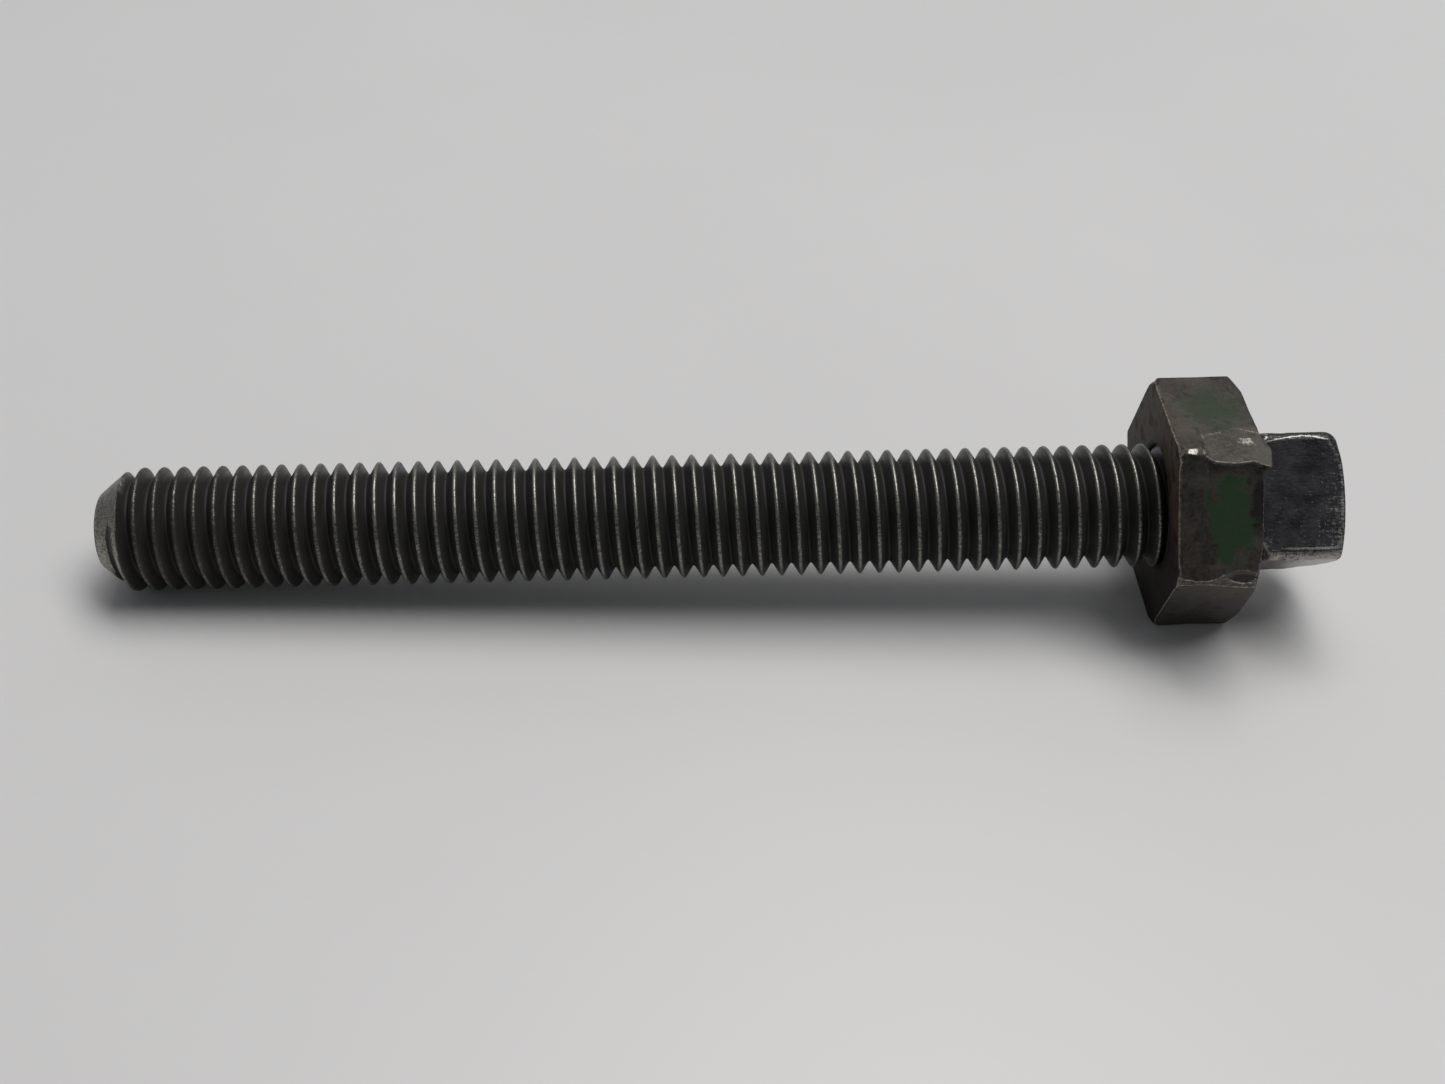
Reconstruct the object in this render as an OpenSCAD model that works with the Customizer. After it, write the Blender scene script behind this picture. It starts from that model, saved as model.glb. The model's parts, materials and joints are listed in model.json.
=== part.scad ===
// Square head set screw with a hex jam nut run up to its head.
// The screw lies along X: its point is at the origin and its head is towards +X.
// One flat of the nut faces down (-Z). Sizes are in millimetres.
// The thread is a row of V rings one pitch apart, so that every crest, root and flank is
// a true cylinder or cone, and the nut meets the screw at every whole turn.

/* [Thread] */
// Threads per inch of the coarse 1/2 inch thread
threads_per_inch = 13; // [12:1:16]
// Diameter over the screw's crests
thread_d = 12.4; // [12:0.1:12.7]
// Radial gap between the nut's thread and the screw's
thread_gap = 0.15; // [0.1:0.01:0.2]

/* [Screw] */
// Length from the point to the underside of the head
under_head = 113.1; // [80:0.1:150]
// Diameter of the flat point
point_d = 7.6; // [6:0.1:9]
// Length of the cone behind the point
point_len = 2.8; // [1.5:0.1:4]
// Length of the unthreaded neck under the head
neck_len = 3.9; // [3:0.1:5]

/* [Head] */
// Width of the square head across its flats
head_flats = 12.5; // [12:0.1:12.8]
// Height of the head at its crown
head_h = 9.5; // [9:0.1:10]
// Radius of the crown
crown_r = 31.75; // [25:0.25:40]
// Rounding of the long corners
corner_round = 0.9; // [0.3:0.1:1.5]
// Turn of the head from square to the nut, in degrees
head_turn = 47; // [0:1:89]

/* [Nut] */
// Width of the nut across its flats
nut_flats = 21.6; // [21:0.1:22.3]
// Thickness of the nut
nut_h = 7.9; // [7.6:0.1:8.5]
// Gap between the nut and the head
nut_gap = 0.4; // [0.3:0.1:5]
// Diameter of the flat ring on the nut's head side, inside its chamfer
nut_ring_d = 22.6; // [22:0.1:24]
// Height of the small bevel at the corners on the nut's point side
nut_bevel = 0.4; // [0.2:0.1:0.8]

/* [Hidden] */
$fn = 96;

flank_angle = 30; // half of the 60 degree V
pitch = 25.4 / threads_per_inch;
thread_depth = 0.6134 * pitch;
crest_r = thread_d / 2;
root_r = crest_r - thread_depth;
crest_flat = pitch / 8;

head_x = under_head;
head_end = under_head + head_h;
neck_x = head_x - neck_len;
nut_x = head_x - nut_gap - nut_h;
nut_corner_r = nut_flats / 2 / cos(30);

// The first ring's crest stands where the cone of the point ends
first_crest = point_len - 0.1;
crest_count = floor((neck_x - first_crest - pitch / 2) / pitch) + 1;
crests = [for (i = [-1:crest_count - 1]) first_crest + i * pitch];

// The nut's thread is cut from 0.4 mm above the screw's root to 0.2 mm above its crest
nut_minor_r = root_r + 0.4;
nut_major_r = crest_r + 0.2;
countersink_r = nut_major_r + 0.3;
nut_grooves = [
    for (i = [-1:crest_count + 2])
    let (x = first_crest + i * pitch)
    if (x > nut_x - pitch && x < nut_x + nut_h + pitch) x
];

nut_ring_r = nut_ring_d / 2;
nut_chamfer_h = (nut_corner_r - nut_ring_r) * tan(30);

// The head's lower corners are rounded off over this height, from this radius outwards
head_corner_r = (head_flats / 2 - corner_round) * sqrt(2) + corner_round;
underside_h = 1.4;
underside_r = head_corner_r - underside_h;

// Cutting tools reach this far past what they cut
past = 1;

// A ball centred on the X axis whose surface passes through two circles around that axis:
// radius r1 at x1 and radius r2 at x2. It rounds off corners, and cuts flats in true arcs.
module ball_through(r1, x1, r2, x2) {
    centre = (x1 * x1 + r1 * r1 - x2 * x2 - r2 * r2) / (x1 - x2) / 2;
    translate([centre, 0, 0]) sphere(norm([x1 - centre, r1]));
}

// Turns a shape drawn along Z so that it lies along X
module along_x() {
    rotate([0, 90, 0]) children();
}

// Half the width of the screw's V at a radius
function half_width(r) = crest_flat / 2 + (crest_r - r) * tan(flank_angle);

// The V ring centred at x, from radius low to radius high, widened by gap
function ring(x, low, high, gap = 0) = [
    [low, x - half_width(low - gap)],
    [high, x - half_width(high - gap)],
    [high, x + half_width(high - gap)],
    [low, x + half_width(low - gap)]
];

// Half of the threaded shank's outline, as (radius, x), before its point is cut
module thread_outline() {
    polygon(concat(
        [[0, -pitch]],
        [for (x = crests) each ring(x, root_r, crest_r)],
        [[root_r, head_x + past], [0, head_x + past]]
    ));
}

// Half of the blank that the thread is cut on: a flat point with a cone behind it
module blank_outline() {
    cone_slope = (crest_r - point_d / 2) / point_len;
    polygon([
        [0, 0],
        [point_d / 2, 0],
        [crest_r + past, point_len + past / cone_slope],
        [crest_r + past, head_x + past],
        [0, head_x + past]
    ]);
}

module shank() {
    along_x() rotate_extrude() intersection() {
        thread_outline();
        blank_outline();
    }
}

// A square with round corners, centred
module round_square(width, corner) {
    inner = width - 2 * corner;
    square([width, inner], center = true);
    square([inner, width], center = true);
    for (x = [-1, 1], y = [-1, 1])
        translate([x, y] * inner / 2) circle(corner);
}

module head() {
    intersection() {
        translate([head_x, 0, 0]) rotate([head_turn, 0, 0])
            along_x() linear_extrude(head_h) round_square(head_flats, corner_round);
        translate([head_end - crown_r, 0, 0]) sphere(crown_r);
        ball_through(underside_r, head_x, head_corner_r, head_x + underside_h);
    }
}

module square_head_screw() {
    color([0.22, 0.23, 0.25]) union() {
        shank();
        head();
    }
}

// The threaded bore, with a countersink at each end
module nut_bore() {
    depth = (countersink_r - nut_minor_r) * tan(30);
    along_x() rotate_extrude() union() {
        polygon(concat(
            [[0, nut_grooves[0] - pitch]],
            [for (x = nut_grooves) each ring(x, nut_minor_r, nut_major_r, thread_gap)],
            [[0, nut_grooves[len(nut_grooves) - 1] + pitch]]
        ));
        for (side = [0, 1])
            translate([0, nut_x + side * nut_h]) polygon([
                [0, -depth],
                [nut_minor_r, -depth],
                [countersink_r, 0],
                [nut_minor_r, depth],
                [0, depth]
            ]);
    }
}

module hex_jam_nut() {
    color([0.34, 0.31, 0.27]) difference() {
        translate([nut_x, 0, 0]) intersection() {
            along_x() rotate([0, 0, 30]) cylinder(h = nut_h, r = nut_corner_r, $fn = 6);
            ball_through(nut_corner_r - nut_bevel, 0, nut_corner_r, nut_bevel);
            ball_through(nut_ring_r, nut_h, nut_corner_r, nut_h - nut_chamfer_h);
        }
        nut_bore();
    }
}

square_head_screw();
hex_jam_nut();
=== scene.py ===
"""The looks of a worn square head set screw and its hex jam nut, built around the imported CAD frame.

Every size here is in millimetres until a mesh is made. The screw lies along X, and its point is at the
origin. An angle is measured round the X axis from +Y towards +Z, so a right-hand thread moves to +X as
it grows.
"""

import json
import math
import random

import bmesh
import bpy
import numpy as np
from mathutils import Matrix, Vector, noise


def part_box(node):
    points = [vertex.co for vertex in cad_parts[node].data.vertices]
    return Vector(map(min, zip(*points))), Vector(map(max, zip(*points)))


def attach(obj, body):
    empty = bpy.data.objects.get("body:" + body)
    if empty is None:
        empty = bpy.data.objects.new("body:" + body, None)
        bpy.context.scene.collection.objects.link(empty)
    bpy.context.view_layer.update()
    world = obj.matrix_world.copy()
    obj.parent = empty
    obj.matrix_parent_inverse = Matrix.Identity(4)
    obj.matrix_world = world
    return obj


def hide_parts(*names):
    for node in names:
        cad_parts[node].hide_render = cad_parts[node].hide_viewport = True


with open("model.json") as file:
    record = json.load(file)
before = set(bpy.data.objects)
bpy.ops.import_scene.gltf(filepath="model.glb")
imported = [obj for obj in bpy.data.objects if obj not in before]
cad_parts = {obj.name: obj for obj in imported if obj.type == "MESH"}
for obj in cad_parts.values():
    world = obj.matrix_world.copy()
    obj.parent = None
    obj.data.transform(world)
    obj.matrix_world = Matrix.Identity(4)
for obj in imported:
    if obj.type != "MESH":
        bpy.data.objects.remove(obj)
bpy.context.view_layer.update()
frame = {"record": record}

MM = 0.001
TURN = 2 * math.pi
SCREW = "square_head_screw"
NUT = "hex_jam_nut"
MOUNTS = {m["name"]: m for m in frame["record"]["mounts"]}

# ---------------------------------------------------------------- sizes from the frame

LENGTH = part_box(SCREW)[1].x / MM
NUT_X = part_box(NUT)[0].x / MM
NUT_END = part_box(NUT)[1].x / MM
NUT_HALF = -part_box(NUT)[0].z / MM
CREST_R = MOUNTS["thread"]["dims"]["r_mm"]
HEAD_HALF = math.hypot(*MOUNTS["head_wrench_flat"]["pos_m"][1:]) / MM
HEAD_FRONT = math.atan2(*reversed(MOUNTS["head_wrench_flat"]["axis"][1:]))

# ---------------------------------------------------------------- other sizes of the screw

PITCH = 25.4 / 13
THREAD_DEPTH = 1.3
CREST_HALF = 0.13  # half the width of the flat along the crest
CREST_ROUND = 0.1
ROOT_ROUND = 0.18
THREAD_START = -0.26  # where the crest line would cross angle 0
POINT_X = -0.15  # the worn point stands this far off the CAD's
POINT_R = 3.8
POINT_LEN = 2.8
FIRST_GROOVE = np.radians((138, 195))  # the groove on the point fades in between these angles
FRONT_OF_THREAD = np.radians((150, 182))  # the crests are worn less here
NECK_R = CREST_R - THREAD_DEPTH
NECK_LEN = 3.9
NECK_FILLET = 0.6
HEAD_X = LENGTH - 9.5
HEAD_CORNER_ROUND = 0.9
HEAD_CORNER_R = (HEAD_HALF - HEAD_CORNER_ROUND) * math.sqrt(2) + HEAD_CORNER_ROUND
HEAD_BEND = math.atan((HEAD_HALF - HEAD_CORNER_ROUND) / HEAD_HALF)  # from a side's middle to its end
HEAD_EDGE = 0.15  # rounding between the underside and the sides
HEAD_RIM = 0.2  # rounding between the crown and the sides
HEAD_CORNER_RIM = (1.25, 0.45, 1.9, 0.5)  # the same at its top, front, bottom and back corners
UNDERSIDE_H = 1.4  # height of the rounding at the head's lower corners
CROWN_R = 31.75
# The bright line above the front side wanders off the bend of its upper corner
UPPER_LINE_X = HEAD_X + np.array((1.5, 3.2, 5.0, 6.2, 7.2, 8.3))
UPPER_LINE = np.radians((-0.2, 2.0, 3.2, 2.4, 0.5, -0.8))
# How far the bottom corner stands out from the others, along X
BOTTOM_X = HEAD_X + np.array((4.4, 6.2, 7.4, 8.2))
BOTTOM_OUT = (0.28, 0.26, 0.05, -0.25)

# ---------------------------------------------------------------- other sizes of the nut

NUT_THREAD_GAP = 0.15
NUT_MINOR_R = 5.4
COUNTERSINK_R = 6.45
NUT_RING_R = 11.3
NUT_CORNER_R = NUT_HALF / math.cos(math.pi / 6)
NUT_CORNER_ROUND = 0.12
NUT_EDGE = 0.1  # rounding between the flats and the two sides
NUT_BEVEL = 0.4  # height of the bevel at the corners on the nut's point side
NUT_LOW_KNOCKS = (0.0, 0.45, 0.4, 0.0, 0.1, 0.1)  # knocks to those corners, from the one at +Y on
NUT_OVER = 0.05  # each flat stands this far outside the CAD's, before its wear
NUT_LIFT = 0.25  # the nut sits loosely on the thread, this much above its axis
NUT_PROUD = 0.25  # its point side stands this much nearer the point than the CAD's
NUT_LEAN = 0.009  # and leans towards the point at the back, by this slope
TOP_FLAT = math.radians(90)  # the way the top flat faces
FRONT_FLAT = math.radians(150)  # the way the upper front flat faces
UPPER_CORNER = math.radians(120)  # the two corners at the front
LOWER_CORNER = math.radians(180)
NUT_PART = TURN / 6  # from each corner to the next

# ---------------------------------------------------------------- the corner that was hammered over

PEEN_X = NUT_X + 2.5  # the hammered facet runs from here to the head side of the nut
PEEN_ANGLE = np.radians((100, 132))  # it lies between these angles
PEEN_NORMAL = math.radians(99.5)
PEEN_DEPTH = (11.30, 11.08)  # distance of the facet from the axis at its start and 3 mm further on
# The lip's edge on the front flat, and the facet's border on the top flat
LIP_X = NUT_X + np.array((2.4, 3.3, 5.2, 6.9, 7.6, 8.2))
LIP_ANGLE = np.radians((122.0, 125.0, 125.9, 124.7, 127.0, 128.0))
LIP_MIDDLE = math.radians(125)
LIP_OVERHANG = 1.1  # how far the lip reaches past the nut's chamfered corner
FACET_X = NUT_X + np.array((2.6, 2.9, 4.2, 6.0, 7.1, 8.2))
FACET_TOP = np.radians((112.0, 108.9, 107.1, 103.4, 106.3, 107.8))
SPECK_X = NUT_X + np.array((6.1, 7.1))  # a patch of the facet that is worn brighter
SPECK_ANGLE = np.radians((111.5, 114.0))
# Bare nicks along the rest of this corner: where each begins and ends, and how softly
NICKS = (
    (NUT_X + 0.9, NUT_X + 1.7, 0.15),
    (NUT_X + 2.35, NUT_X + 2.55, 0.1),
)

# ---------------------------------------------------------------- the worn lower front corner

# The corner is worn down to a band between two lines, one on each flat, given along X
BAND_X = NUT_X + np.array((0.0, 0.4, 0.7, 1.7, 2.6, 3.4, 4.1, 4.8, 5.4, 6.2, 6.9, 7.9))
BAND_FRONT = np.radians(
    (176.1, 177.9, 178.8, 179.7, 179.7, 179.0, 177.7, 176.4, 175.6, 175.4, 176.4, 177.5)
)
BAND_LOW = np.radians(
    (185.3, 184.4, 183.3, 183.3, 183.6, 183.9, 184.8, 186.1, 186.8, 187.2, 187.5, 187.6)
)
# A dent fills the band's upper part, from its front line down to this one
DENT_X = NUT_X + np.array((4.3, 5.4, 6.3, 7.1, 7.6))
DENT_LOW = np.radians((178.2, 182.8, 184.5, 183.8, 179.4))
DENT_DEPTH = 0.13

# ---------------------------------------------------------------- paint, stage and camera

# Patches on the nut's flats. Each oval is its middle, along X from the point side and along the flat,
# and its half widths the same two ways.
FRONT_PAINT = (
    (4.7, -1.2, 1.7, 2.5),
    (5.1, 1.3, 2.0, 2.0),
    (4.4, 3.2, 0.8, 1.3),
    (2.4, -2.2, 0.25, 1.0),
)
TOP_PAINT = ((4.3, 0.6, 2.4, 3.0),)
BLOTCH = (
    (7.5, -1.2, 1.1, 2.7),
    (6.2, 5.8, 1.3, 0.4),
)
GREEN = (0.006, 0.031, 0.006)

# The camera, as fitted to the photograph: it looks at the middle of the screw, from the front
CAMERA_ELEVATION = math.radians(37.64)
CAMERA_DISTANCE = 187.6
CAMERA_ASIDE = 0.4  # off the middle of the screw, towards the head
CAMERA_TURN = np.radians((-0.818, 0.047, -1.379))  # from looking straight at the X axis
CAMERA_LENS = 46.64


# ================================================================ small helpers for shapes

def smooth(value, low, high):
    """0 below low, 1 above high and an S curve between them."""
    t = np.clip((value - low) / (high - low), 0, 1)
    return t * t * (3 - 2 * t)


def between(value, low, high, soft):
    """1 between low and high, falling to 0 over the distance soft on either side."""
    return smooth(value, low - soft, low) * (1 - smooth(value, high, high + soft))


def ridge(value, middle, width):
    """1 at the middle, falling off like a bell to either side."""
    return np.exp(-((value - middle) / width) ** 2)


def quarter_turns(steps):
    """The angles of an edge's rounding, after its first, from 0 to a right angle."""
    return np.linspace(0, math.pi / 2, steps + 1)[1:]


def soften(value, round_by):
    """The larger of 0 and the value, with its corner rounded off."""
    return (value + np.sqrt(value**2 + round_by**2)) / 2


def rough(points, per_mm, seed=0.0):
    """Smooth noise from -1 to 1 at each point, with about per_mm waves to the millimetre."""
    offset = Vector((seed * 17.3, seed * 9.1, seed * 5.7))
    flat = np.asarray(points, float).reshape(-1, 3)
    values = [noise.noise(Vector(p) * per_mm + offset) for p in flat]
    return np.array(values).reshape(np.shape(points)[:-1])


def around(x, radius, angle):
    """Points at a place along the axis, a radius and an angle, in one array."""
    x, radius, angle = np.broadcast_arrays(x, radius, angle)
    return np.stack([x, radius * np.cos(angle), radius * np.sin(angle)], axis=-1)


def polygon_radius(angle, sides, half, corner, first_normal):
    """Radius of a regular polygon with rounded corners, at each angle."""
    part = TURN / sides
    off = np.abs((angle - first_normal + part / 2) % part - part / 2)
    centre = (half - corner) / math.cos(part / 2)
    across = centre * np.sin(off - part / 2)
    arc = centre * np.cos(off - part / 2) + np.sqrt(np.maximum(corner**2 - across**2, 0))
    arc_starts = np.arctan((half - corner) * math.tan(part / 2) / half)
    return np.where(off < arc_starts, half / np.cos(off), arc)


def chord_radius(angle, first, first_r, last, last_r):
    """Radius of the straight line between two points, each given by its angle and radius."""
    between_ends = first_r * np.sin(angle - first) + last_r * np.sin(last - angle)
    return first_r * last_r * np.sin(last - first) / np.maximum(between_ends, 0.01)


def column_angles(first_corner, sides, spread, corner_steps, plain_steps):
    """Angles round the axis for a polygon's columns of points, closer together at its corners."""
    part = TURN / sides
    angles = []
    for k in range(sides):
        corner = first_corner + k * part
        angles += list(np.linspace(corner - spread, corner + spread, corner_steps))
        angles += list(np.linspace(corner + spread, corner + part - spread, plain_steps + 2)[1:-1])
    return np.sort(np.array(angles) % TURN)


class Surface:
    """A closed surface, gathered from sheets of points that meet exactly at their ends."""

    MERGE = 0.002

    def __init__(self):
        self.points = []
        self.wear = []
        self.faces = []

    def add(self, rows, wear=0.0, seam=0):
        """Joins rows of points into quads. Each row closes on itself, or on the row seam further on."""
        rows = np.asarray(rows, float)
        count, columns = rows.shape[:2]
        index = len(self.points) + np.arange(count * columns).reshape(count, columns)
        self.points += rows.reshape(-1, 3).tolist()
        self.wear += np.broadcast_to(wear, (count, columns)).ravel().tolist()
        quads = np.stack([index[:-1, :-1], index[:-1, 1:], index[1:, 1:], index[1:, :-1]], -1)
        self.faces += quads.reshape(-1, 4).tolist()
        last = count - 1 - seam
        closing = [index[:last, -1], index[seam:-1, 0], index[seam + 1:, 0], index[1:last + 1, -1]]
        self.faces += np.stack(closing, -1).tolist()

    def cap(self, ring):
        """Closes the surface over a ring of points, with one point in its middle."""
        start = len(self.points)
        count = len(ring)
        self.points += ring.tolist() + [ring.mean(axis=0).tolist()]
        self.wear += [0.0] * (count + 1)
        self.faces += [[start + i, start + (i + 1) % count, start + count] for i in range(count)]

    def build(self, name, materials, material_of):
        """Makes the object, in metres, with a wear value on every point."""
        mesh = bpy.data.meshes.new(name)
        mesh.from_pydata((np.array(self.points) * MM).tolist(), [], self.faces)
        wear = mesh.attributes.new("wear", "FLOAT", "POINT")
        wear.data.foreach_set("value", np.array(self.wear, np.float32))
        work = bmesh.new()
        work.from_mesh(mesh)
        bmesh.ops.remove_doubles(work, verts=work.verts, dist=self.MERGE * MM)
        bmesh.ops.dissolve_degenerate(work, edges=work.edges, dist=self.MERGE * MM)
        bmesh.ops.recalc_face_normals(work, faces=work.faces)
        for face in work.faces:
            face.smooth = True
            face.material_index = material_of(face.calc_center_median() / MM)
        work.to_mesh(mesh)
        work.free()
        for material in materials:
            mesh.materials.append(material)
        piece = bpy.data.objects.new(name, mesh)
        bpy.context.scene.collection.objects.link(piece)
        piece.modifiers.new("flat_sides", "WEIGHTED_NORMAL")
        return piece


class Rings:
    """Rings of points round the axis, one after another, each with its wear."""

    def __init__(self, angles):
        self.angles = angles
        self.rows = []
        self.wear = []

    def put(self, x, radius, wear=0.0, angles=None):
        self.rows.append(around(x, radius, self.angles if angles is None else angles))
        self.wear.append(np.broadcast_to(wear, self.angles.shape))

    def arrays(self):
        return np.array(self.rows), np.array(self.wear)


# ================================================================ the thread

def thread_radius(offset, crest_r):
    """Radius of the 60 degree thread, at a distance along the axis from the middle of its crest."""
    drop = soften(np.abs(offset) - CREST_HALF, CREST_ROUND) * math.sqrt(3)
    return crest_r - THREAD_DEPTH + soften(THREAD_DEPTH - drop, ROOT_ROUND)


def thread_offsets():
    """Where a pitch's rows of points lie, closer together at the crest and the root."""
    half = [0.0, 0.11, 0.18, 0.28, 0.74, 0.86]
    return np.array([-h for h in reversed(half[1:])] + half + [PITCH / 2])


def thread_rows(angles, x_low, x_high):
    """Rows that follow the helix, held between two ends: x and the distance from the crest."""
    offsets = thread_offsets()
    first = math.floor((x_low - THREAD_START) / PITCH) - 2
    last = math.ceil((x_high - THREAD_START) / PITCH) + 1
    turns = np.arange(first, last + 1)
    start = (turns[:, None] * PITCH + offsets).ravel()
    x = THREAD_START + start[:, None] + PITCH * angles / TURN
    distance = np.tile(offsets, len(turns))[:, None] + np.zeros_like(x)
    return np.clip(x, x_low, x_high), distance


def crest_knocks(points, count, seed):
    """Radius of the crests at each point, where small knocks have flattened them."""
    pick = random.Random(seed)
    radius = CREST_R - 0.03 * rough(points, 0.35, seed=1) - 0.02 * rough(points, 1.3, seed=9)
    for _ in range(count):
        centre = around(pick.uniform(3, NUT_X), CREST_R, pick.uniform(0, TURN))
        size = pick.uniform(0.35, 1.1)
        depth = pick.uniform(0.05, 0.2)
        near = np.exp(-4 * ((points - centre) ** 2).sum(-1) / size**2)
        radius = np.minimum(radius, CREST_R - depth * near)
    return radius


# ================================================================ the screw

def screw_columns():
    """Columns of the square head, with more of them at the two corners of its front side."""
    spread = math.radians(6.6)
    corners = (HEAD_FRONT - math.pi / 4, HEAD_FRONT + math.pi / 4)
    angles = column_angles(corners[1], 4, spread, 11, 12)
    for corner in corners:
        others = angles[np.abs(angles - corner) > spread + 0.001]
        angles = np.concatenate([others, np.linspace(corner - spread, corner + spread, 31)])
    return np.sort(angles)


def blank_radius(x):
    """The blank under the thread: a cone at the point, and a neck under the head."""
    cone = POINT_R + (CREST_R - POINT_R) * (x - POINT_X) / (POINT_LEN - POINT_X)
    neck = NECK_R + np.maximum(0, HEAD_X - NECK_LEN - x)
    return np.minimum(cone, neck)


def crest_wear(x, angles):
    """How bare the crests are: less so near the point, and less on the front."""
    front = between(angles, *FRONT_OF_THREAD, math.radians(18))
    return (0.55 + 0.45 * smooth(x, 6, 30)) * (1 - 0.25 * front)


def add_thread(surface, angles):
    """The threaded shank and its neck, cut from the blank, with the first groove fading out."""
    x, distance = thread_rows(angles, POINT_X, HEAD_X - NECK_FILLET)
    radius = thread_radius(distance, CREST_R)
    points = around(x, radius, angles)
    radius = np.minimum(radius, crest_knocks(points, 70, seed=4))
    inside = (x > POINT_X) & (x < HEAD_X - NECK_FILLET)
    limit = blank_radius(x) + 0.02 * rough(points, 0.9, seed=10) * inside
    turns = (x - THREAD_START) / PITCH - angles / TURN
    groove = np.maximum(smooth(angles, *FIRST_GROOVE), turns > 1)
    filled = np.clip(limit, radius, np.maximum(radius, NUT_MINOR_R - 0.1))
    radius = np.where(radius < limit, filled + (radius - filled) * groove, radius)
    depth = CREST_R - radius
    on_cone = (limit < radius + 0.01) & (x < POINT_LEN + 1)
    wear = np.where(on_cone, 0.95, crest_wear(x, angles) * (1 - smooth(depth, 0.05, 0.28)))
    surface.add(around(x, np.minimum(radius, limit), angles), wear, seam=len(thread_offsets()))


def add_point(surface, angles):
    """The flat end and its worn rim, from the middle outwards to the thread's first ring."""
    rim = 0.3
    rings = Rings(angles)
    for part in (0.25, 0.5, 0.75, 1.0):
        rings.put(POINT_X + rim / 4, (POINT_R - rim) * part, 0.6)
    rings.put(POINT_X + rim / 12, POINT_R - rim / 3, 0.8)
    rings.put(POINT_X, POINT_R, 0.95)
    rows, wear = rings.arrays()
    surface.cap(rows[0])
    surface.add(rows, wear)


def head_end_x(radius):
    """The crown's height above each radius."""
    return LENGTH - CROWN_R + np.sqrt(CROWN_R**2 - radius**2)


def head_radius(x, angles):
    """The worn square outline of the head at a place along it. Its bottom corner stands out."""
    at = around(x, HEAD_HALF, angles)
    outline = polygon_radius(angles, 4, HEAD_HALF, HEAD_CORNER_ROUND, HEAD_FRONT)
    corner = smooth(outline, HEAD_HALF + 1.4, HEAD_CORNER_R)
    battered = 0.10 * np.maximum(0, rough(at, 0.9, seed=11) + 0.1)
    at_bottom = smooth(np.cos(angles - HEAD_FRONT - 3 * math.pi / 4), 0.7, 0.8)
    out = at_bottom * np.interp(x, BOTTOM_X, BOTTOM_OUT)
    return outline - 0.03 * rough(at, 0.35, seed=3) + corner * (out - battered)


def head_side_wear(x, angles):
    """Wear of the head's sides: bright lines where the front side bends, and a worn lower side."""
    off = (angles - HEAD_FRONT + math.pi) % TURN - math.pi
    thin = math.radians(0.5)
    upper = ridge(off, -HEAD_BEND - np.interp(x, UPPER_LINE_X, UPPER_LINE), thin)
    lower = ridge(off, HEAD_BEND - math.radians(0.95), thin)
    lower = lower * smooth(x, HEAD_X + 2.0, HEAD_X + 3.4)
    past = 0.2 * smooth(-off, HEAD_BEND, HEAD_BEND + math.radians(1.5))
    below = 0.5 * smooth(off, HEAD_BEND - math.radians(0.2), HEAD_BEND + math.radians(1.8))
    return np.maximum(np.maximum(upper, lower), np.maximum(past, below))


def underside_x(radius):
    """The head's underside: flat, and rounded up towards the corners."""
    out = np.maximum(0, radius - (HEAD_CORNER_R - UNDERSIDE_H)) / UNDERSIDE_H
    return HEAD_X + UNDERSIDE_H * out**1.6


def put_underside(rings, low):
    """The neck's fillet, the underside and its edge, up to the sides' outline at their low end."""
    inner = NECK_R + NECK_FILLET
    rings.put(HEAD_X - NECK_FILLET, NECK_R)
    for turn in quarter_turns(4):
        rings.put(HEAD_X - NECK_FILLET * (1 - math.sin(turn)), inner - NECK_FILLET * math.cos(turn))
    for part in (0.35, 0.7, 0.88, 1.0):
        radius = inner + (low - HEAD_EDGE - inner) * part
        rings.put(underside_x(radius), radius, 0.1)
    for turn in quarter_turns(3):
        radius = low - HEAD_EDGE * (1 - math.sin(turn))
        rings.put(underside_x(low) + HEAD_EDGE * (1 - math.cos(turn)), radius, 0.6)


def head_rim(low, angles):
    """How far the edge between the sides and the crown is rounded off, most of all at the corners."""
    ends = around(LENGTH, HEAD_HALF, angles)
    quarter = np.floor((angles - HEAD_FRONT) / (TURN / 4) + 1).astype(int) % 4
    more = np.array(HEAD_CORNER_RIM)[quarter] - HEAD_RIM
    to_corner = smooth(low, HEAD_HALF + 0.6, HEAD_CORNER_R)
    return HEAD_RIM + 0.08 * rough(ends, 0.7, seed=5) + to_corner * more


def put_crown(rings, top, rim):
    """The worn rim and the crown, from the sides' outline to the middle."""
    for turn in quarter_turns(5):
        radius = top - rim * (1 - math.cos(turn))
        x = head_end_x(radius) - rim * (1 - math.sin(turn))
        rings.put(x, radius, 0.1 + 0.15 * math.cos(2 * turn) ** 2)
    inner = top - rim
    for part in (0.97, 0.9, 0.78, 0.62, 0.45, 0.28, 0.12):
        rings.put(head_end_x(inner * part), inner * part, 0.15 + 0.2 * smooth(part, 0.75, 1.0))


def add_head(surface, angles):
    """The head, from its neck to the middle of its crown."""
    rings = Rings(angles)
    low = head_radius(HEAD_X + 1, angles)
    put_underside(rings, low)
    rim = head_rim(low, angles)
    start = underside_x(low) + HEAD_EDGE
    end = head_end_x(low) - rim
    for part in np.linspace(0, 1, 30)[1:]:
        x = start + (end - start) * part
        wear = np.maximum(head_side_wear(x, angles), 0.3 * smooth(part, 0.96, 1.0))
        rings.put(x, head_radius(x, angles), wear)
    put_crown(rings, head_radius(end, angles), rim)
    rows, wear = rings.arrays()
    surface.add(rows, wear)
    surface.cap(rows[-1])


def build_screw():
    angles = screw_columns()
    surface = Surface()
    add_point(surface, angles)
    add_thread(surface, angles)
    add_head(surface, angles)
    materials = [thread_steel(), head_steel()]
    piece = surface.build("worn_screw", materials, lambda p: int(p.x > HEAD_X - NECK_FILLET))
    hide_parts(SCREW)
    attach(piece, "screw")


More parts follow.
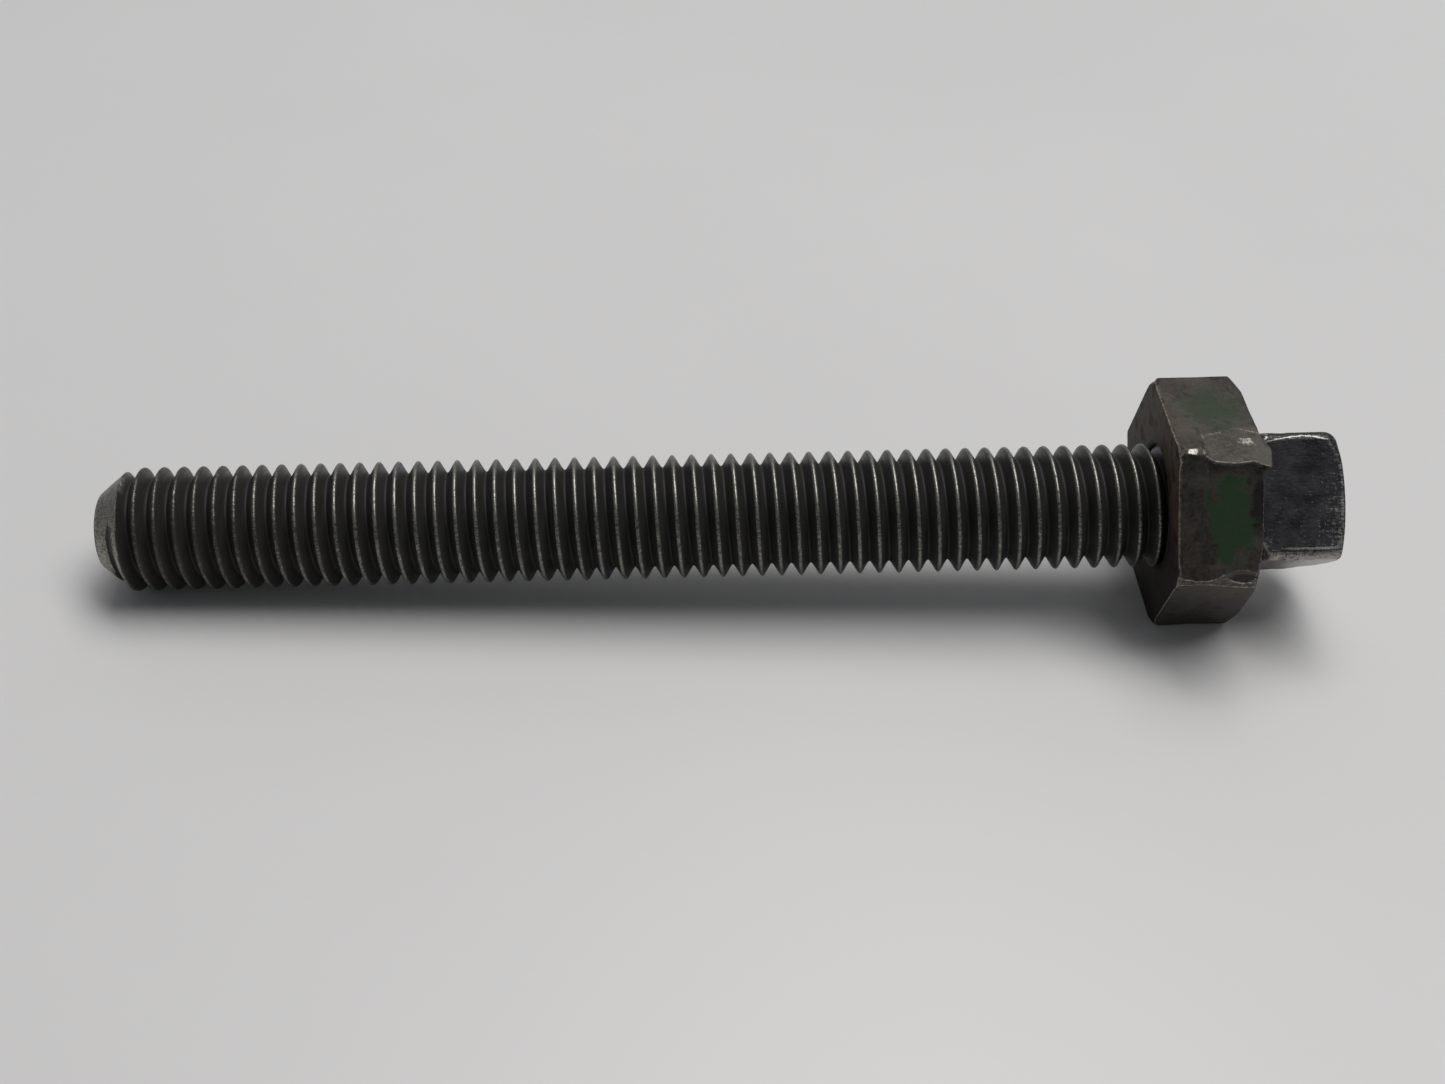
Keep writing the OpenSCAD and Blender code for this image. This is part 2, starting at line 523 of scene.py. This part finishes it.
# ================================================================ the nut

def nut_columns():
    """Columns of the hexagon, closer together at its corners, and most of all at the knocked ones."""
    angles = column_angles(0, 6, math.radians(3.5), 15, 18)
    lip = LIP_MIDDLE + np.radians((-2.0, -1.6, -1.2, -0.8, -0.4, -0.2, 0, 0.12, 0.3, 0.6, 1.0, 1.5))
    border = np.radians(np.arange(102.0, 114.0, 0.6))
    band = np.radians(np.arange(174.6, 188.6, 0.4))
    angles = angles[(angles < band[0]) | (angles > band[-1])]
    merged = np.sort(np.concatenate([angles, border, lip, band]))
    return merged[np.diff(merged, prepend=-1) > math.radians(0.08)]


def lip_angle(x):
    """Where the hammered lip ends on the front flat."""
    return np.interp(x, LIP_X, LIP_ANGLE)


def follow_lip(x, angles):
    """Moves the columns near the hammered lip sideways, so that one of them runs along it."""
    near = ridge(angles, LIP_MIDDLE, math.radians(4))
    return angles + near * (lip_angle(x) - LIP_MIDDLE) * smooth(x, PEEN_X - 0.4, PEEN_X)


def flat_radius(distance, angles, normal):
    """Radius of a flat that faces one way, at a distance from the axis."""
    return distance / np.cos(np.clip(angles - normal, -1.2, 1.2))


def peened_radius(x, angles):
    """Outline at the hammered facet: cut off flat, with a thin lip pushed out over the front flat."""
    depth = np.interp(x, (PEEN_X, PEEN_X + 3), PEEN_DEPTH)
    facet = flat_radius(depth, angles, PEEN_NORMAL)
    top = flat_radius(NUT_HALF, angles, TOP_FLAT)
    front = flat_radius(NUT_HALF, angles, FRONT_FLAT)
    past_lip = smooth(angles - lip_angle(x), 0, math.radians(0.35))
    return np.minimum(top, facet) * (1 - past_lip) + front * past_lip


def peened_wear(x, angles):
    """Bare metal along the facet's borders and its lip, and less of it on the facet."""
    lip_at = lip_angle(x)
    top_at = np.interp(x, FACET_X, FACET_TOP)
    lip = ridge(angles, lip_at, math.radians(0.35))
    top = 0.75 * ridge(angles, top_at, math.radians(0.6))
    side = 0.8 * ridge(x, PEEN_X + 0.1, 0.18) * (angles > math.radians(108))
    facet = 0.3 * (angles > top_at) * (angles < lip_at)
    speck = 0.45 * between(x, *SPECK_X, 0.5) * between(angles, *SPECK_ANGLE, math.radians(2))
    return np.maximum(np.maximum(facet + speck, side), np.maximum(lip, top))


def nut_outline(angles):
    """The hexagon before its wear."""
    return polygon_radius(angles, 6, NUT_HALF + NUT_OVER, NUT_CORNER_ROUND, TOP_FLAT)


def worn_band(x, angles):
    """The band worn along the lower front corner: its radius, where it is, and its wear."""
    ragged = math.radians(0.35) * rough(around(x, NUT_CORNER_R, math.pi), 2.2, seed=12)
    front = np.interp(x, BAND_X, BAND_FRONT) + ragged
    low = np.interp(x, BAND_X, BAND_LOW) - ragged
    radius = chord_radius(angles, front, nut_outline(front), low, nut_outline(low))
    inside = (angles > front) & (angles < low)
    soft = math.radians(0.5)
    dent_low = np.interp(x, DENT_X, DENT_LOW)
    dent_starts = smooth(x, DENT_X[0], DENT_X[1])
    wide = smooth(dent_low - front, math.radians(0.6), math.radians(2))
    dent = smooth(angles, front, front + 2 * soft) * (1 - smooth(angles, dent_low - 2 * soft, dent_low))
    dent = dent * wide * dent_starts
    lines = ridge(angles, front, soft) + ridge(angles, low, soft)
    lines = lines + ridge(angles, dent_low, soft) * dent_starts
    wear = np.minimum(1, 0.5 + 0.6 * lines) * (1 - 0.8 * dent)
    return radius - DENT_DEPTH * dent, inside, wear


def corner_wear(x, angles):
    """How far each of the other corners is knocked back at a place along it."""
    corner = np.round(angles / NUT_PART)
    at = around(x, NUT_CORNER_R, corner * NUT_PART)
    back = 1 - smooth(np.cos(corner * NUT_PART), 0.3, 0.4)
    knock = 0.03 + (0.02 + 0.1 * back) * (1 + rough(at, 0.55, seed=6))
    low = np.array(NUT_LOW_KNOCKS)[corner.astype(int) % 6]
    return knock + low * (1 - smooth(x, NUT_X, NUT_X + 0.6))


def nut_radius(x, angles):
    """The worn hexagon's outline at a place along it, and how bare it is there."""
    at = around(x, NUT_CORNER_R, angles)
    outline = nut_outline(angles)
    uneven = 0.04 * rough(at, 0.3, seed=7) + 0.015 * rough(at, 1.1, seed=8)
    corner_at = np.round(angles / NUT_PART) * NUT_PART
    cut = (NUT_CORNER_R + 0.06 - corner_wear(x, angles)) / np.cos(angles - corner_at)
    wear = smooth(outline - cut, -0.05, 0.04)
    nicks = sum(between(x, *nick) for nick in NICKS) + (x < NUT_X + 0.6)
    upper_front = np.abs(angles - UPPER_CORNER) < NUT_PART / 2
    wear = np.where(upper_front, wear * np.minimum(1, 0.15 + nicks), wear)
    radius = np.minimum(outline, cut)
    band, inside, band_wear = worn_band(x, angles)
    lower_front = np.abs(angles - LOWER_CORNER) < NUT_PART / 2
    radius = np.where(lower_front, np.where(inside, np.minimum(band, outline), outline), radius)
    wear = np.where(lower_front, np.where(inside, band_wear, 0), wear)
    hammered = smooth(x, PEEN_X - 0.12, PEEN_X + 0.12) * between(angles, *PEEN_ANGLE, 0.05)
    radius = radius + hammered * (peened_radius(x, angles) - radius)
    return radius + uneven, np.maximum(wear * (1 - hammered), hammered * peened_wear(x, angles))


def nut_low_x(radius, angles):
    """The point side: flat, with a small bevel at every corner but the back one."""
    bevel = np.maximum(0, radius - (NUT_CORNER_R - NUT_BEVEL - 0.3)) * 0.6
    return NUT_X + bevel * (1 - smooth(np.cos(angles), 0.7, 0.9))


def nut_high_x(radius, angles):
    """The head side: a flat ring, a 30 degree chamfer, and the lip that was hammered out past it."""
    chamfer = np.maximum(0, radius - NUT_RING_R) * math.tan(math.pi / 6)
    past_lip = smooth(angles - lip_angle(NUT_END), math.radians(0.1), math.radians(0.5))
    spread = 0.25 * smooth(angles, math.radians(84), math.radians(98))
    spread = spread + 0.75 * smooth(angles, math.radians(106), math.radians(119))
    spread = spread * (1 - past_lip) * smooth(radius, NUT_RING_R - 0.8, NUT_CORNER_R - 0.6)
    return NUT_END - chamfer + LIP_OVERHANG * spread


def put_point_side(rings, low):
    """The nut's point side and its edge, from the countersink outwards."""
    for part in (0, 0.04, 0.2, 0.4, 0.6, 0.8, 0.92, 1):
        radius = COUNTERSINK_R + (low - NUT_EDGE - COUNTERSINK_R) * part
        rings.put(nut_low_x(radius, rings.angles), radius, 0.2 * smooth(part, 0.85, 1.0))
    for turn in quarter_turns(3):
        x = nut_low_x(low, rings.angles) + NUT_EDGE * (1 - math.cos(turn))
        rings.put(x, low - NUT_EDGE * (1 - math.sin(turn)), 0.8)


def put_head_side(rings, high, high_angles, end):
    """The nut's head side and its edge, inwards to the countersink."""
    for turn in quarter_turns(3):
        radius = high - NUT_EDGE * (1 - math.cos(turn))
        rings.put(end + NUT_EDGE * math.sin(turn), radius, 0.7, high_angles)
    for part in (1, 0.92, 0.8, 0.6, 0.4, 0.2, 0.04, 0):
        radius = COUNTERSINK_R + (high - NUT_EDGE - COUNTERSINK_R) * part
        turned = rings.angles + (high_angles - rings.angles) * smooth(part, 0.3, 1)
        rings.put(nut_high_x(radius, turned), radius, 0.3 * smooth(part, 0.85, 1.0), turned)


def move_nut(rows):
    """Lifts the outside of the nut and leans its point side, as it sits loosely on the thread."""
    outside = smooth(np.hypot(rows[..., 1], rows[..., 2]), COUNTERSINK_R + 0.2, NUT_HALF - 1)
    rows[..., 2] += NUT_LIFT * outside
    proud = NUT_PROUD + NUT_LEAN * rows[..., 1]
    rows[..., 0] -= proud * outside * (NUT_END - rows[..., 0]) / (NUT_END - NUT_X)


def add_nut_outside(surface, angles):
    """Point side, flats and head side, from one countersink to the other."""
    rings = Rings(angles)
    low = nut_radius(NUT_X, angles)[0]
    put_point_side(rings, low)
    start = nut_low_x(low, angles) + NUT_EDGE
    end_angles = follow_lip(NUT_END, angles)
    end = nut_high_x(nut_radius(NUT_END, end_angles)[0], end_angles) - NUT_EDGE
    for part in np.linspace(0, 1, 36)[1:]:
        x = start + (end - start) * part
        row_angles = follow_lip(x, angles)
        radius, wear = nut_radius(x, row_angles)
        rings.put(x, radius, np.maximum(wear, 0.4 * smooth(abs(part - 0.5), 0.47, 0.5)), row_angles)
    put_head_side(rings, radius, row_angles, end)
    rows, wear = rings.arrays()
    move_nut(rows)
    surface.add(rows, wear)


def add_nut_bore(surface, angles):
    """The nut's own thread, cut back by a countersink at each end."""
    x, distance = thread_rows(angles, NUT_X, NUT_END)
    groove = np.maximum(thread_radius(distance, CREST_R) + NUT_THREAD_GAP, NUT_MINOR_R)
    depth = np.minimum(x - NUT_X, NUT_END - x)
    sink = COUNTERSINK_R - depth * math.sqrt(3)
    surface.add(around(x, np.maximum(groove, sink), angles), 0.0, seam=len(thread_offsets()))


def build_nut():
    angles = nut_columns()
    surface = Surface()
    add_nut_outside(surface, angles)
    add_nut_bore(surface, angles)
    piece = surface.build("worn_nut", [nut_steel()], lambda p: 0)
    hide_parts(NUT)
    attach(piece, "nut")


# ================================================================ materials

class Shader:
    """A node material. An input of a node is a number, a colour or another node's output."""

    def __init__(self, name):
        self.material = bpy.data.materials.new(name)
        self.material.use_nodes = True
        self.tree = self.material.node_tree
        self.surface = self.tree.nodes["Principled BSDF"]

    def node(self, kind, settings=None, **inputs):
        """Adds a node. An input is named by its socket, or by i and its number."""
        made = self.tree.nodes.new(kind)
        for key, value in (settings or {}).items():
            setattr(made, key, value)
        for key, value in inputs.items():
            self.join(made, key, value)
        return made

    def join(self, made, key, value):
        socket = made.inputs[int(key[1:])] if key[0] == "i" and key[1:].isdigit() else made.inputs[key]
        if isinstance(value, bpy.types.NodeSocket):
            self.tree.links.new(value, socket)
        elif isinstance(value, tuple) and len(value) == 3 and socket.type == "RGBA":
            socket.default_value = (*value, 1)
        else:
            socket.default_value = value

    def math(self, operation, a, b=0.0):
        return self.node("ShaderNodeMath", {"operation": operation}, i0=a, i1=b).outputs[0]

    def add(self, a, b):
        return self.math("ADD", a, b)

    def times(self, a, b):
        return self.math("MULTIPLY", a, b)

    def hypot(self, a, b):
        return self.math("SQRT", self.add(self.times(a, a), self.times(b, b)))

    def outwards(self, y, z, angle):
        """How far a point lies from the axis towards an angle."""
        return self.add(self.times(y, math.cos(angle)), self.times(z, math.sin(angle)))

    def centred(self, value, strength):
        """Noise stretched so that it goes as far below 0 as above it, by half the strength."""
        return self.times(self.math("SUBTRACT", self.ramp(value, 0.32, 0.68), 0.5), strength)

    def position(self):
        """Where the point is in the frame, in millimetres."""
        place = self.node("ShaderNodeTexCoord").outputs["Object"]
        made = self.node("ShaderNodeVectorMath", {"operation": "SCALE"}, i0=place, Scale=1 / MM)
        return made.outputs[0]

    def parts(self, vector):
        return self.node("ShaderNodeSeparateXYZ", i0=vector).outputs

    def vector(self, x, y, z):
        return self.node("ShaderNodeCombineXYZ", X=x, Y=y, Z=z).outputs[0]

    def stretched(self, vector, x, y, z):
        """The vector, with each of its parts scaled."""
        made = self.node("ShaderNodeVectorMath", {"operation": "MULTIPLY"}, i0=vector, i1=(x, y, z))
        return made.outputs[0]

    def noise(self, vector, scale, detail=4.0, roughness=0.55):
        made = self.node("ShaderNodeTexNoise", Vector=vector, Scale=scale)
        self.join(made, "Detail", detail)
        self.join(made, "Roughness", roughness)
        return made.outputs[0]

    def ramp(self, value, low, high, to_low=0.0, to_high=1.0):
        """Moves smoothly from to_low to to_high as the value goes from low to high."""
        made = self.node("ShaderNodeMapRange", {"interpolation_type": "SMOOTHSTEP"})
        for key, given in zip(range(5), (value, low, high, to_low, to_high)):
            self.join(made, f"i{key}", given)
        return made.outputs[0]

    def mix(self, share, a, b):
        """A colour between a and b."""
        made = self.node("ShaderNodeMix", {"data_type": "RGBA"})
        for key, given in zip((0, 6, 7), (share, a, b)):
            self.join(made, f"i{key}", given)
        return made.outputs[2]

    def blend(self, share, a, b):
        """A number between a and b."""
        made = self.node("ShaderNodeMix", {"data_type": "FLOAT"})
        for key, given in zip((0, 2, 3), (share, a, b)):
            self.join(made, f"i{key}", given)
        return made.outputs[0]

    def attribute(self, name):
        return self.node("ShaderNodeAttribute", {"attribute_name": name}).outputs["Fac"]

    def bump(self, height, depth, normal=None):
        """Bumps as deep as the given millimetres, on top of an earlier bump if there is one."""
        made = self.node("ShaderNodeBump", Height=height, Distance=depth * MM)
        if normal is not None:
            self.join(made, "Normal", normal)
        return made.outputs[0]

    def finish(self, colour, metallic, roughness, normal=None):
        for key, value in (("Base Color", colour), ("Metallic", metallic), ("Roughness", roughness)):
            self.join(self.surface, key, value)
        if normal is not None:
            self.join(self.surface, "Normal", normal)
        return self.material


def thread_steel():
    """Oily black oxide, with crests worn to bare steel and dirt in the roots."""
    s = Shader("thread_steel")
    place = s.position()
    x, y, z = s.parts(place)
    radius = s.hypot(y, z)
    angle = s.math("ARCTAN2", z, y)
    turned = s.vector(s.times(x, 9), s.times(radius, 9), angle)
    cloud = s.noise(place, 0.3)
    fine = s.noise(place, 4.0, detail=6, roughness=0.65)
    lines = s.noise(turned, 1.0, detail=3)
    oxide = s.mix(cloud, (0.028, 0.028, 0.028), (0.078, 0.076, 0.071))
    near_point = s.ramp(x, 5, 40, 0.5, 0.0)
    oxide = s.mix(near_point, oxide, (0.050, 0.045, 0.038))
    root = s.ramp(radius, NECK_R, NECK_R + 0.6, 0.7, 0.0)
    oxide = s.mix(root, oxide, (0.008, 0.007, 0.006))
    ticks = s.noise(s.vector(s.times(x, 2), s.times(radius, 2), s.times(angle, 55)), 1.0)
    rubbed = s.add(s.attribute("wear"), s.add(s.centred(fine, 0.5), s.centred(ticks, 0.4)))
    bare = s.ramp(rubbed, 0.40, 1.2)
    colour = s.mix(bare, oxide, (0.33, 0.32, 0.28))
    metallic = s.blend(bare, s.blend(root, 0.6, 0.2), 1.0)
    dull = s.blend(root, s.ramp(lines, 0.3, 0.7, 0.36, 0.5), 0.7)
    roughness = s.blend(bare, dull, 0.36)
    normal = s.bump(lines, 0.012)
    return s.finish(colour, metallic, roughness, s.bump(fine, 0.02, normal))


def head_steel():
    """Bluish black oxide, scratched along and across, and worn through at the edges."""
    s = Shader("head_steel")
    place = s.position()
    x, y, z = s.parts(place)
    cloud = s.noise(place, 0.5, detail=6, roughness=0.6)
    speckle = s.noise(s.stretched(place, 2.2, 4.5, 4.5), 1.0, detail=8, roughness=0.75)
    across = s.noise(s.stretched(place, 9, 0.7, 0.7), 1.0)
    along = s.noise(s.stretched(place, 0.5, 7, 7), 1.0)
    oxide = s.mix(s.ramp(cloud, 0.35, 0.65), (0.012, 0.012, 0.016), (0.036, 0.036, 0.042))
    low_end = s.ramp(s.math("SUBTRACT", x, s.times(z, 0.6)), LENGTH - 8.0, LENGTH + 0.5, 0.0, 0.45)
    by_nut = s.ramp(x, HEAD_X + 1.0, HEAD_X + 3.5, 0.32, 0.0)
    by_nut = s.times(by_nut, s.ramp(z, 0.5, 3.5, 1.0, 0.0))
    rubbed = s.add(s.times(s.attribute("wear"), 1.15), low_end)
    rubbed = s.add(rubbed, by_nut)
    rubbed = s.add(rubbed, s.centred(speckle, 0.8))
    rubbed = s.add(rubbed, s.add(s.centred(across, 0.30), s.centred(along, 0.22)))
    bare = s.ramp(rubbed, 0.30, 0.90)
    colour = s.mix(bare, oxide, (0.35, 0.335, 0.31))
    metallic = s.blend(bare, 0.5, 1.0)
    roughness = s.blend(bare, s.ramp(cloud, 0.3, 0.7, 0.38, 0.55), 0.38)
    normal = s.bump(s.noise(place, 1.2), 0.06)
    normal = s.bump(s.add(across, along), 0.01, normal)
    return s.finish(colour, metallic, roughness, s.bump(speckle, 0.03, normal))


def paint_patch(s, place, x, along, ovals, seed, soft=0.2):
    """How much of a patch is left on a flat: ovals with uneven edges, full in their middles."""
    moved = s.node("ShaderNodeVectorMath", i0=place, i1=(seed, 0, 0)).outputs[0]
    coarse = s.centred(s.noise(moved, 0.6, detail=5), 0.6)
    uneven = s.add(coarse, s.centred(s.noise(moved, 2.5), 0.25))
    patch = 0.0
    for x_middle, middle, x_half, half in ovals:
        across = s.times(s.math("SUBTRACT", x, NUT_X + x_middle), 1 / x_half)
        down = s.times(s.math("SUBTRACT", along, middle), 1 / half)
        oval = s.ramp(s.add(s.hypot(across, down), uneven), 1 - soft, 1 + soft, 1.0, 0.0)
        patch = s.math("MAXIMUM", patch, oval)
    return patch


def nut_base(s, place, cloud, fine):
    """Brown-grey steel with paler grain and dark spots."""
    base = s.mix(s.ramp(cloud, 0.35, 0.65), (0.033, 0.028, 0.022), (0.074, 0.065, 0.053))
    base = s.mix(s.ramp(fine, 0.40, 0.70, 0.0, 0.5), base, (0.095, 0.086, 0.075))
    spots = s.ramp(s.noise(place, 0.9, detail=5, roughness=0.6), 0.52, 0.66, 0.0, 0.6)
    return s.mix(spots, base, (0.018, 0.014, 0.011))


def point_side_rust_and_light(s, place, end_face, streaks, base):
    """Rust on the upper half of the nut's point side, with painted light and shade on the whole side:
    painted shade darkens its lower half under the shaft, and painted light makes its upper half and its
    back paler.
    """
    y, z = s.parts(place)[1:]
    # Painted shade: the lower half of the point side, under the shaft, is darkened.
    painted_shade_low = s.times(end_face, s.ramp(z, -3, 5, 0.8, 0.0))
    base = s.mix(painted_shade_low, base, (0.014, 0.013, 0.012))
    # Painted light: the upper half of the point side is made paler.
    painted_light_top = s.times(end_face, s.ramp(z, 1, 6, 0.0, 0.6))
    base = s.mix(painted_light_top, base, (0.105, 0.090, 0.074))
    rust = s.times(s.ramp(streaks, 0.42, 0.58), s.times(end_face, s.ramp(z, 1, 6, 0.0, 0.9)))
    base = s.mix(rust, base, (0.090, 0.044, 0.020))
    # Painted light: the point side is made paler towards the back.
    painted_light_back = s.times(end_face, s.ramp(y, -3, 8, 0.0, 0.75))
    base = s.mix(painted_light_back, base, (0.120, 0.104, 0.088))
    pits = s.ramp(s.noise(place, 0.7, detail=5, roughness=0.6), 0.50, 0.62, 0.0, 0.85)
    return s.mix(s.times(end_face, pits), base, (0.030, 0.013, 0.008))


def nut_steel():
    """Dull brown-grey steel with light rust, edge wear and two remnants of green paint."""
    s = Shader("nut_steel")
    place = s.position()
    x, y, z = s.parts(place)
    cloud = s.noise(place, 0.25, detail=6)
    fine = s.noise(place, 3.0, detail=7, roughness=0.7)
    streaks = s.noise(s.stretched(place, 5, 5, 0.35), 1.0, detail=5)
    end_face = s.ramp(x, NUT_X + 0.05, NUT_X + 0.15, 1.0, 0.0)
    on_front = s.ramp(s.outwards(y, z, FRONT_FLAT), NUT_HALF - 1.0, NUT_HALF - 0.8)
    on_top = s.ramp(z, NUT_HALF - 0.6, NUT_HALF - 0.4)
    down = s.outwards(y, z, FRONT_FLAT + math.pi / 2)
    base = nut_base(s, place, cloud, fine)
    # Rust on the point side, with painted shade on its lower half and painted light on its upper half
    # and back.
    base = point_side_rust_and_light(s, place, end_face, streaks, base)
    blotch = s.times(paint_patch(s, place, x, down, BLOTCH, 31, soft=0.35), on_front)
    base = s.mix(s.times(blotch, 0.8), base, (0.014, 0.010, 0.008))
    rubbed = s.add(s.times(s.attribute("wear"), 1.1), s.centred(fine, 0.5))
    bare = s.ramp(rubbed, 0.50, 1.25)
    colour = s.mix(bare, base, (0.36, 0.34, 0.31))
    metallic = s.blend(bare, 0.6, 1.0)
    roughness = s.blend(bare, s.ramp(cloud, 0.3, 0.7, 0.45, 0.6), 0.36)
    roughness = s.blend(end_face, roughness, 0.75)
    front = s.times(paint_patch(s, place, x, down, FRONT_PAINT, 3), on_front)
    top = s.times(paint_patch(s, place, x, y, TOP_PAINT, 11, soft=0.5), s.times(on_top, 0.7))
    paint = s.math("MAXIMUM", front, top)
    colour = s.mix(paint, colour, GREEN)
    metallic = s.blend(paint, metallic, 0.0)
    roughness = s.blend(paint, roughness, 0.7)
    normal = s.bump(s.noise(place, 0.9), 0.05)
    normal = s.bump(streaks, 0.01, normal)
    return s.finish(colour, metallic, roughness, s.bump(fine, 0.03, normal))


def table_top():
    """A pale, slightly glossy table top."""
    s = Shader("table_top")
    place = s.position()
    cloud = s.noise(place, 0.01, detail=5)
    colour = s.mix(cloud, (0.70, 0.69, 0.69), (0.76, 0.75, 0.75))
    return s.finish(colour, 0.0, s.ramp(cloud, 0.3, 0.7, 0.30, 0.40))


# ================================================================ stage, light and camera

def add_floor():
    """A floor under the nut's lower edge and the first full thread, as the part really rests."""
    slope = (NUT_HALF + NUT_OVER - NUT_LIFT - CREST_R) / (NUT_X - POINT_LEN)
    bpy.ops.mesh.primitive_plane_add(size=2)
    floor = bpy.context.object
    floor.name = "floor"
    start = Matrix.Translation((0, 0, (-CREST_R + POINT_LEN * slope) * MM))
    floor.matrix_world = start @ Matrix.Rotation(math.atan(slope), 4, "Y")
    floor.data.materials.append(table_top())


def add_panel(name, elevation, aside, distance, size, power, colour):
    """A soft light panel that faces the middle of the screw from behind and above.

    The elevation is in degrees and the lengths in metres. The panel stands aside towards the head.
    """
    middle = Vector((LENGTH / 2 * MM, 0, 0))
    turn = math.radians(elevation)
    data = bpy.data.lights.new(name, "AREA")
    data.shape = "RECTANGLE"
    data.size, data.size_y = size
    data.energy = power
    data.color = colour
    light = bpy.data.objects.new(name, data)
    away = Vector((0, math.cos(turn), math.sin(turn))) * distance
    light.location = middle + away + Vector((aside, 0, 0))
    light.rotation_euler = (middle - light.location).to_track_quat("-Z", "Y").to_euler()
    bpy.context.scene.collection.objects.link(light)


def add_lights():
    world = bpy.data.worlds.new("world")
    world.use_nodes = True
    background = world.node_tree.nodes["Background"]
    background.inputs["Color"].default_value = (0.92, 0.96, 1.0, 1)
    background.inputs["Strength"].default_value = 0.15
    bpy.context.scene.world = world
    add_panel("ceiling", 79, 0.37, 1.2, (1.35, 0.63), 12.9, (1.0, 0.99, 0.975))
    add_panel("back_wall", 30, 0.0, 1.4, (1.8, 0.6), 1.2, (0.97, 0.98, 1.0))


def add_camera():
    """Stands in front of the middle of the screw, looking down on it."""
    y = -CAMERA_DISTANCE * math.cos(CAMERA_ELEVATION)
    z = CAMERA_DISTANCE * math.sin(CAMERA_ELEVATION)
    place = Vector((LENGTH / 2 + CAMERA_ASIDE, y, z)) * MM
    data = bpy.data.cameras.new("camera")
    data.sensor_width = 36
    data.lens = CAMERA_LENS
    data.clip_start = 0.01
    camera = bpy.data.objects.new("camera", data)
    pitch, yaw, roll = CAMERA_TURN
    turn = Matrix.Rotation(math.pi / 2 - CAMERA_ELEVATION + pitch, 4, "X")
    turn = turn @ Matrix.Rotation(yaw, 4, "Y") @ Matrix.Rotation(roll, 4, "Z")
    camera.matrix_world = Matrix.Translation(place) @ turn
    bpy.context.scene.collection.objects.link(camera)
    bpy.context.scene.camera = camera


build_screw()
build_nut()
add_floor()
add_lights()
add_camera()
bpy.context.scene.view_settings.view_transform = "Standard"
